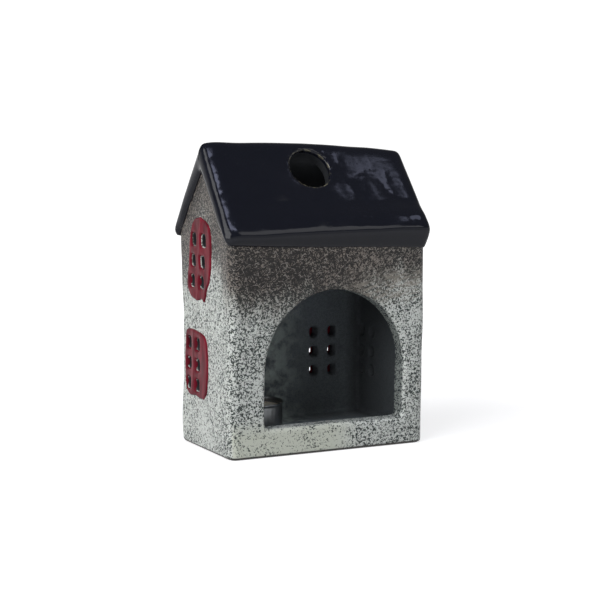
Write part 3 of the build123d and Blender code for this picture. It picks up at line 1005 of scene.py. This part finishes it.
def turned(name, profile, middle, steps, flute=None):
    """A closed piece turned round an upright axis, from a closed profile of (radius, height).
    Its sides may be fluted."""
    made = bmesh.new()
    rings = []
    for step in range(steps):
        angle = 2 * math.pi * step / steps
        ring = []
        for radius, height in profile:
            out = radius + (flute(angle, radius, height) if flute else 0.0)
            place = Vector((out * math.cos(angle), out * math.sin(angle), height))
            ring.append(made.verts.new(middle + place))
        rings.append(ring)
    for step in range(steps):
        here, ahead = rings[step], rings[(step + 1) % steps]
        for i in range(len(profile)):
            j = (i + 1) % len(profile)
            made.faces.new((here[i], ahead[i], ahead[j], here[j]))
    bmesh.ops.remove_doubles(made, verts=made.verts, dist=0.0005 * MM)
    bmesh.ops.dissolve_degenerate(made, edges=made.edges, dist=0.0005 * MM)
    bmesh.ops.recalc_face_normals(made, faces=made.faces)
    return linked(name, smooth_mesh(name, made))


def rounded_corner(middle, radius, start, end, steps=6):
    """Points of a corner round a (radius, height) middle, between two angles in degrees."""
    angles = [math.radians(start + (end - start) * i / steps) for i in range(steps + 1)]
    return [(middle[0] + radius * math.cos(a), middle[1] + radius * math.sin(a)) for a in angles]


def upright_size(node, middle):
    """Radius of an upright round CAD node, and the heights of its foot and head above the tealight's foot."""
    low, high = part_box(node)
    return (high.x - low.x) / 2, low.z - middle.z, high.z - middle.z


class TEALIGHT_HOUSE_OT_tealight(bpy.types.Operator):
    """Press the cup, pour the wax and set the wick on its foot"""

    bl_idname = "tealight_house.tealight"
    bl_label = "Tealight"

    def execute(self, context):
        light, glaze = house_settings(context, "tealight"), house_settings(context, "glaze")
        low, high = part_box("tealight_cup")
        middle = Vector(((low.x + high.x) / 2, (low.y + high.y) / 2, low.z))
        self.press_cup(light, glaze, middle)
        self.pour_wax(light, glaze, middle)
        self.twist_wick(light, glaze, middle)
        self.stamp_sustainer(light, glaze, middle)
        return {"FINISHED"}

    def press_cup(self, light, glaze, middle):
        """A thin fluted cup with a rolled rim."""
        rim, _, tall = upright_size("tealight_cup", middle)
        side = rim - light.rim_width
        bore = side - light.cup_wall
        foot = light.foot_radius
        roll = light.rim_width / 2
        fade = light.flute_fade
        neck = tall - light.rim_drop
        rows = 12

        def fluted(angle, radius, height):
            band = eased((height - foot) / fade) * eased((tall - fade - height) / fade)
            # Full on the outer face and the bore, and gone 1.5 mm inside the outer face
            outer = eased((radius - side + 1.5 * MM) / (1 * MM))
            return -light.flute_depth * (0.5 + 0.5 * math.cos(light.flute_count * angle)) * band * outer

        outer = [(0.0, 0.0), *rounded_corner((side - foot, foot), foot, -90, 0)]
        outer += [(side, foot + (neck - foot) * i / rows) for i in range(1, rows + 1)]
        curl = rounded_corner((side + roll, tall - roll), roll, -100, 180, 14)
        inner = [(bore, neck - (neck - foot) * i / rows) for i in range(rows + 1)]
        inner += rounded_corner((side - foot, foot), foot - light.cup_wall, 0, -90)
        inner += [(0.0, light.cup_wall)]
        cup = turned("pressed_tealight_cup", outer + curl + inner, middle, light.steps, fluted)
        finished(cup, pressed_aluminium(glaze), "tealight", "tealight_cup")

    def pour_wax(self, light, glaze, middle):
        """A block of wax that creeps up at the cup and at the wick."""
        radius, foot, tall = upright_size("tealight_wax", middle)
        wick = upright_size("tealight_wick", middle)[0]
        clearance = 0.05 * MM
        side = radius - clearance - light.flute_depth
        bore = wick * 1.05
        level = tall - light.meniscus
        rows = 24
        top = []
        for i in range(rows + 1):
            radius = side + (bore - side) * i / rows
            at_cup = math.exp(-(side - radius) / (0.8 * MM))
            at_wick = math.exp(-(radius - wick) / (0.7 * MM))
            top.append((radius, level + light.meniscus * min(1.0, at_cup + 0.8 * at_wick)))
        corner = light.wax_corner
        base = rounded_corner((side - corner, foot + corner), corner, -90, 0)
        wax = turned("poured_tealight_wax", [(bore, foot), *base, *top], middle, light.steps)
        finished(wax, poured_wax(glaze), "tealight", "tealight_wax")

    def twist_wick(self, light, glaze, middle):
        """Three strands wound round each other, each with a round head."""
        wick, foot, head = upright_size("tealight_wick", middle)
        # Three circles that touch each other fit into a circle 2.155 times as wide as one of them
        strand = wick / 2.155
        lay = wick - strand
        levels, around = 96, 12
        head_share = 0.03
        made = bmesh.new()
        for number in range(3):
            rings = []
            for level in range(levels + 1):
                share = level / levels
                turn = 2 * math.pi * (light.strand_turns * share + number / 3)
                into_head = max(0.0, (share - 1 + head_share) / head_share)
                thick = strand * math.sqrt(max(0.02, 1 - into_head**2))
                core = Vector((lay * math.cos(turn), lay * math.sin(turn), foot + (head - foot) * share))
                ring = []
                for k in range(around):
                    angle = 2 * math.pi * k / around
                    spoke = Vector((thick * math.cos(angle), thick * math.sin(angle), 0))
                    ring.append(made.verts.new(middle + core + spoke))
                rings.append(ring)
            for here, ahead in zip(rings, rings[1:]):
                for k in range(around):
                    m = (k + 1) % around
                    made.faces.new((here[k], here[m], ahead[m], ahead[k]))
            made.faces.new(reversed(rings[0]))
            made.faces.new(rings[-1])
        bmesh.ops.recalc_face_normals(made, faces=made.faces)
        name = "twisted_tealight_wick"
        cord = linked(name, smooth_mesh(name, made))
        finished(cord, waxed_cotton(glaze), "tealight", "tealight_wick")

    def stamp_sustainer(self, light, glaze, middle):
        """A round foot of thin sheet with a neck that holds the wick."""
        plate, foot, neck = upright_size("wick_sustainer", middle)
        inside = upright_size("tealight_wick", middle)[0] * 1.08
        thick = light.sheet
        bend = light.sheet_bend
        profile = [
            (inside, foot),
            *rounded_corner((plate - thick / 2, foot + thick / 2), thick / 2, -90, 90),
            *rounded_corner((inside + thick + bend, foot + thick + bend), bend, 270, 180),
            *rounded_corner((inside + thick / 2, neck - thick / 2), thick / 2, 0, 180),
        ]
        holder = turned("stamped_wick_sustainer", profile, middle, light.steps // 2)
        finished(holder, tinned_sheet(glaze), "tealight", "wick_sustainer")


# The camera, fitted to the corners of the house in the photo
CAMERA_PLACE = Vector((-429.4, -853.3, 192.2)) * MM
CAMERA_SHIFT = (-0.0029, 0.0023)
SENSOR_WIDTH = 36
# What the camera and the lights point at
HOUSE_MIDDLE = Vector((0, 0, 80 * MM))


class TEALIGHT_HOUSE_OT_stage(bpy.types.Operator):
    """Set up the white paper, the lights and the camera"""

    bl_idname = "tealight_house.stage"
    bl_label = "Stage"

    def execute(self, context):
        stage, glaze = house_settings(context, "stage"), house_settings(context, "glaze")
        self.lay_paper(glaze)
        self.hang_lights(stage)
        context.scene.world = self.dim_room(stage, glaze)
        context.scene.camera = self.set_camera(stage)
        context.scene.view_settings.view_transform = "Standard"
        return {"FINISHED"}

    def lay_paper(self, glaze):
        """A sheet of paper under the house and one behind it."""
        for name, corners, bounce, glow in (
            ("floor_paper", ((-4, -4, 0), (4, -4, 0), (4, 4, 0), (-4, 4, 0)), 0.6, 0.7),
            ("backdrop_paper", ((-6, 4, -2), (6, 4, -2), (6, 4, 5), (-6, 4, 5)), 0.62, 1.0),
        ):
            mesh = bpy.data.meshes.new(name)
            mesh.from_pydata(corners, [], [(0, 1, 2, 3)])
            paper = linked(name, mesh)
            title = name.replace("_", " ").capitalize() + ", matt"
            mesh.materials.append(white_paper(title, glaze, bounce, glow))

    def hang_lights(self, stage):
        """Four area lights: place, width and height in metres, power and colour."""
        for name, place, width, height, watts, tint in (
            ("key_light", (-1.35, -0.6, 1.05), 1.3, 1.3, stage.key_power, "#FFFFFF"),
            ("fill_light", (0.8, -1.3, 1.5), 0.8, 0.8, stage.fill_power, "#FFFFFF"),
            ("top_light", (0.855, -0.378, 1.384), 0.085, 0.085, stage.top_power, "#D2D8F8"),
            ("verge_light", (-0.18, -0.62, 1.4), 0.7, 0.12, stage.verge_power, "#D2D8F8"),
        ):
            data = bpy.data.lights.new(name, "AREA")
            data.shape = "RECTANGLE"
            data.size = width
            data.size_y = height
            data.energy = watts
            data.color = linear(tint)[:3]
            lamp = linked(name, data)
            lamp.location = place
            lamp.rotation_mode = "QUATERNION"
            lamp.rotation_quaternion = (HOUSE_MIDDLE - lamp.location).to_track_quat("-Z", "Y")

    def dim_room(self, stage, glaze):
        """A world that is white as the paper round the horizon, and dim above it."""
        world = bpy.data.worlds.new("Dim room")
        world.use_nodes = True
        world.node_tree.nodes.clear()
        add = partial(add_node, world.node_tree)
        aim = add("TexCoord").outputs["Generated"]
        rise = add("SeparateXYZ", (aim,)).outputs["Z"]
        low = add("MapRange", (rise, 0.5, 0.25), **SOFT_STEP)
        white = add("Math", (seen_rays(add), low), operation="MULTIPLY")
        strength = add("MapRange", (white, 0.0, 1.0, stage.room_light, 1.0), **SOFT_STEP)
        add("OutputWorld", {"Surface": add("Background", {"Color": glaze.paper, "Strength": strength})})
        return world

    def set_camera(self, stage):
        """The camera at the photo's place."""
        lens = bpy.data.cameras.new("camera")
        lens.lens = stage.lens
        lens.sensor_width = SENSOR_WIDTH
        lens.shift_x, lens.shift_y = CAMERA_SHIFT
        lens.clip_start = 0.01
        lens.clip_end = 50
        camera = linked("camera", lens)
        camera.location = CAMERA_PLACE
        camera.rotation_mode = "QUATERNION"
        camera.rotation_quaternion = (HOUSE_MIDDLE - camera.location).to_track_quat("-Z", "Y")
        return camera


class TEALIGHT_HOUSE_PT_panel(bpy.types.Panel):
    """The settings, and a button for each group of pieces"""

    bl_idname = "TEALIGHT_HOUSE_PT_panel"
    bl_label = "Tealight house"
    bl_space_type = "VIEW_3D"
    bl_region_type = "UI"
    bl_category = "Tealight house"

    def draw(self, context):
        for operator in OPERATORS:
            self.layout.operator(operator.bl_idname)
        for name, group in SETTINGS.items():
            box = self.layout.box()
            box.label(text=name.capitalize())
            for field in group.__annotations__:
                box.prop(house_settings(context, name), field)


SETTINGS = {
    "clay": ClaySettings,
    "window": WindowSettings,
    "tealight": TealightSettings,
    "glaze": GlazeSettings,
    "stage": StageSettings,
}
OPERATORS = (
    TEALIGHT_HOUSE_OT_walls,
    TEALIGHT_HOUSE_OT_roof,
    TEALIGHT_HOUSE_OT_windows,
    TEALIGHT_HOUSE_OT_tealight,
    TEALIGHT_HOUSE_OT_stage,
)
CLASSES = (*SETTINGS.values(), *OPERATORS, TEALIGHT_HOUSE_PT_panel)


def register():
    """Adds the settings, the operators and the panel."""
    for each in CLASSES:
        bpy.utils.register_class(each)
    for name, group in SETTINGS.items():
        setattr(bpy.types.Scene, "tealight_house_" + name, PointerProperty(type=group))


def unregister():
    """Takes away what register adds."""
    for name in SETTINGS:
        delattr(bpy.types.Scene, "tealight_house_" + name)
    for each in reversed(CLASSES):
        bpy.utils.unregister_class(each)


def main():
    """Builds the house and its stage."""
    register()
    bpy.ops.tealight_house.walls()
    bpy.ops.tealight_house.roof()
    bpy.ops.tealight_house.windows()
    bpy.ops.tealight_house.tealight()
    bpy.ops.tealight_house.stage()


if __name__ == "__main__":
    main()
